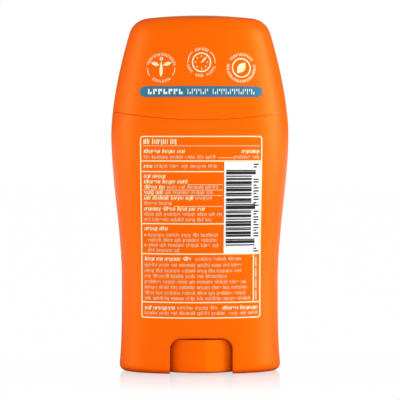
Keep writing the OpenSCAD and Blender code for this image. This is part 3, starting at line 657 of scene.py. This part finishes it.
# Each mark on the band is an upright with a short block beside it, low or high.
BAND_START, BAND_LOW, BAND_HIGH, BAND_SPACE = -17.9, 93.2, 95.0, 1.17
BAND_GROUPS = ((7, 1.7, 0.48), (5, 1.44, 0.24), (10, 1.44, 0.24))
MARK_FROM, MARK_TO, BLOCK_H, BLOCK_WIDER = 0.12, 0.84, 0.8, 1.3
band_print = bmesh.new()
x = BAND_START
for count, pitch, thick in BAND_GROUPS:
    for i in range(count):
        left, right = x + MARK_FROM * pitch, x + MARK_TO * pitch
        low, high = (BAND_HIGH - BLOCK_H, BAND_HIGH) if i % 3 else (BAND_LOW, BAND_LOW + BLOCK_H)
        for z0, z1, x0, x1 in ((BAND_LOW, BAND_HIGH, left, left + thick),
                               (low, high, right - BLOCK_WIDER * thick, right)):
            stroke(band_print, [(x0, z0), (x1, z0), (x1, z1), (x0, z1)], OVER_BACK, BAND_FRONT)
        x += pitch
    x += BAND_SPACE
printed("band_print", band_print, ink("pale_ink", "#fafcfc", "#f4f8f8"), "overcap",
        "band_marks")

# The marks round each emblem are pairs of fine strokes that point at its middle.
EMBLEMS = ((-13.3, 102.0), (0, 103.8), (13.3, 102.0))
MARK_R0, MARK_R1, MARK_W, MARK_SIDE, MARK_CUT = 4.0, 4.95, 0.2, 0.22, 0.3
# The marks in the source are told from the rings and arcs by their place and their size.
MARK_NEAR, MARK_FAR, MARK_LONGEST = 4.1, 4.9, 1.8
mesh, found = patches("cap_emblems")
gone = []
spokes = []
for faces, x0, x1, z0, z1 in found:
    middle = Vector(((x0 + x1) / 2, (z0 + z1) / 2))
    centre = min((Vector(c) for c in EMBLEMS), key=lambda c: (middle - c).length)
    out = middle - centre
    if MARK_NEAR < out.length < MARK_FAR and max(x1 - x0, z1 - z0) < MARK_LONGEST:
        gone += faces
        spokes.append((centre, out.normalized()))
bmesh.ops.delete(mesh, geom=gone, context="FACES")
for i, (centre, out) in enumerate(spokes):
    across = Vector((-out.y, out.x))
    for side in (-MARK_SIDE, MARK_SIDE):
        cut = MARK_CUT if i % 3 == 0 and side > 0 else 0
        inner = centre + out * (MARK_R0 + cut) + across * side
        outer = centre + out * MARK_R1 + across * side * MARK_R1 / MARK_R0
        corners = [inner - across * MARK_W / 2, inner + across * MARK_W / 2,
                   outer + across * MARK_W / 2, outer - across * MARK_W / 2]
        stroke(mesh, [tuple(c) for c in corners])
printed("emblem_print", mesh, cream_ink, "overcap", "cap_emblems")


# The set
# A white lacquered table in a white surround, with two tall soft boxes beside the object, which
# the satin plastic mirrors as streaks, and a broad fill in front.

TABLE_REACH = 3.0
floor_mesh = bpy.data.meshes.new("table_top")
floor_mesh.from_pydata([(-TABLE_REACH, -TABLE_REACH, 0), (TABLE_REACH, -TABLE_REACH, 0),
                        (TABLE_REACH, TABLE_REACH, 0), (-TABLE_REACH, TABLE_REACH, 0)],
                       [], [(0, 1, 2, 3)])
table_top = bpy.data.objects.new("table_top", floor_mesh)
bpy.context.scene.collection.objects.link(table_top)

# The lacquer is lit to white where the camera sees it. A part of its own shade stays, which
# keeps the shadow, and so does the reflection near the foot.
lacquer = bpy.data.materials.new("white_lacquer")
lacquer.use_nodes = True
tree = lacquer.node_tree
shader = tree.nodes["Principled BSDF"]
shader.inputs["Base Color"].default_value = linear("#f4f4f4")
shader.inputs["Roughness"].default_value = 0.14
place = add(tree, "ShaderNodeTexCoord").outputs["Object"]
flattened = add(tree, "ShaderNodeVectorMath", {0: place}, {1: (0.55, 1, 1)}, operation="MULTIPLY")
foot = add(tree, "ShaderNodeVectorMath", {0: flattened.outputs["Vector"]}, operation="LENGTH")
gloss = add(tree, "ShaderNodeMapRange", {"Value": foot.outputs["Value"]},
            {"From Min": 0.015, "From Max": 0.065, "To Min": 0.32, "To Max": 0.0})
glow = add(tree, "ShaderNodeEmission", sockets={"Color": linear("#ffffff"), "Strength": 1.0})
mirror = add(tree, "ShaderNodeBsdfAnisotropic",
             sockets={"Color": linear("#ffffff"), "Roughness": 0.12})
# Painted reflection: where the plastic mirrors the table, the table glows instead, dim near the
# object and brighter toward the sides.
sides = add(tree, "ShaderNodeSeparateXYZ", {0: place})
apart = add(tree, "ShaderNodeMath", {0: sides.outputs["X"]}, operation="ABSOLUTE")
painted_mirror_level = add(tree, "ShaderNodeMapRange", {"Value": apart.outputs[0]},
           {"From Min": 0.08, "From Max": 0.40, "To Min": 0.03, "To Max": 0.9})
painted_mirror_glow = add(tree, "ShaderNodeEmission", {"Strength": painted_mirror_level.outputs["Result"]},
          {"Color": linear("#ffffff")})
lit = add(tree, "ShaderNodeMixShader",
          {0: gloss.outputs["Result"], 1: glow.outputs[0], 2: mirror.outputs[0]})
seen = add(tree, "ShaderNodeLightPath")
share = add(tree, "ShaderNodeMath", {0: seen.outputs["Is Camera Ray"]}, {1: 0.97},
            operation="MULTIPLY")
under = add(tree, "ShaderNodeMixShader",
            {0: seen.outputs["Is Glossy Ray"], 1: shader.outputs[0], 2: painted_mirror_glow.outputs[0]})
both = add(tree, "ShaderNodeMixShader",
           {0: share.outputs[0], 1: under.outputs[0], 2: lit.outputs[0]})
tree.links.new(both.outputs[0], tree.nodes["Material Output"].inputs["Surface"])
finish_with(table_top, lacquer)

# The surround lights the object evenly, a little less from above. The satin plastic mirrors only
# a dim room beside and before it, and the white wall behind it.
world = bpy.data.worlds.new("surround")
bpy.context.scene.world = world
world.use_nodes = True
world.cycles.sampling_method = "NONE"
tree = world.node_tree
sky = add(tree, "ShaderNodeSeparateXYZ", {0: add(tree, "ShaderNodeTexCoord").outputs["Generated"]})
level = add(tree, "ShaderNodeMapRange", {"Value": sky.outputs["Z"]},
            {"From Min": 0.0, "From Max": 1.0, "To Min": 0.85, "To Max": 0.35})
room = add(tree, "ShaderNodeMapRange", {"Value": sky.outputs["Y"]},
           {"From Min": 0.95, "From Max": 0.985, "To Min": 0.03, "To Max": 1.0})
seen = add(tree, "ShaderNodeLightPath")
mirrored = add(tree, "ShaderNodeMix",
               {"Factor": seen.outputs["Is Glossy Ray"], "A": level.outputs["Result"],
                "B": room.outputs["Result"]})
strength = add(tree, "ShaderNodeMix",
               {"Factor": seen.outputs["Is Camera Ray"], "A": mirrored.outputs["Result"]},
               {"B": 1.0})
tree.links.new(strength.outputs["Result"], tree.nodes["Background"].inputs["Strength"])
tree.nodes["Background"].inputs["Color"].default_value = linear("#ffffff")


LAMP_AIM = Vector((0, 0, 0.06))


def soft_lamp(name, bearing_deg, distance, height, width, tall, power, mirrored=True):
    """A rectangular soft box that faces the object from a bearing, counted from the front to
    the right. One that isn't mirrored lights only the colour of the plastic."""
    data = bpy.data.lights.new(name, "AREA")
    data.shape, data.size, data.size_y, data.energy = "RECTANGLE", width, tall, power
    lamp = bpy.data.objects.new(name, data)
    bearing = math.radians(bearing_deg)
    lamp.location = (distance * math.sin(bearing), -distance * math.cos(bearing), height)
    lamp.rotation_euler = (LAMP_AIM - lamp.location).to_track_quat("-Z", "Y").to_euler()
    lamp.visible_glossy = mirrored
    bpy.context.scene.collection.objects.link(lamp)


soft_lamp("left_strip", -78, 0.7, 0.06, 0.20, 0.8, 0.8)
soft_lamp("right_strip", 79, 0.7, 0.06, 0.28, 0.8, 2.1)
soft_lamp("front_fill", -2, 1.2, 0.08, 1.2, 0.6, 7.4, mirrored=False)
soft_lamp("left_fill", -85, 0.9, 0.1, 0.6, 0.8, 3.4, mirrored=False)
soft_lamp("right_fill", 80, 0.9, 0.1, 0.6, 0.8, 7.5, mirrored=False)

# The camera stands 2 degrees to the left, at about 0.78 m and just under the shoulder. The
# frame is FRAME_W across at the object.
SENSOR_W, FRAME_W, CAMERA_Z = 36, 0.1354, 0.079
camera_range = 0.783
camera_turn = math.radians(-2)
aim = Vector((0.00003, 0, 0.05769))
camera_data = bpy.data.cameras.new("camera")
camera_data.sensor_width = SENSOR_W
camera_data.lens = SENSOR_W * camera_range / FRAME_W
camera = bpy.data.objects.new("camera", camera_data)
camera.location = (camera_range * math.sin(camera_turn), -camera_range * math.cos(camera_turn),
                   CAMERA_Z)
camera.rotation_euler = (aim - camera.location).to_track_quat("-Z", "Y").to_euler()
bpy.context.scene.collection.objects.link(camera)
bpy.context.scene.camera = camera
bpy.context.scene.view_settings.view_transform = "Standard"
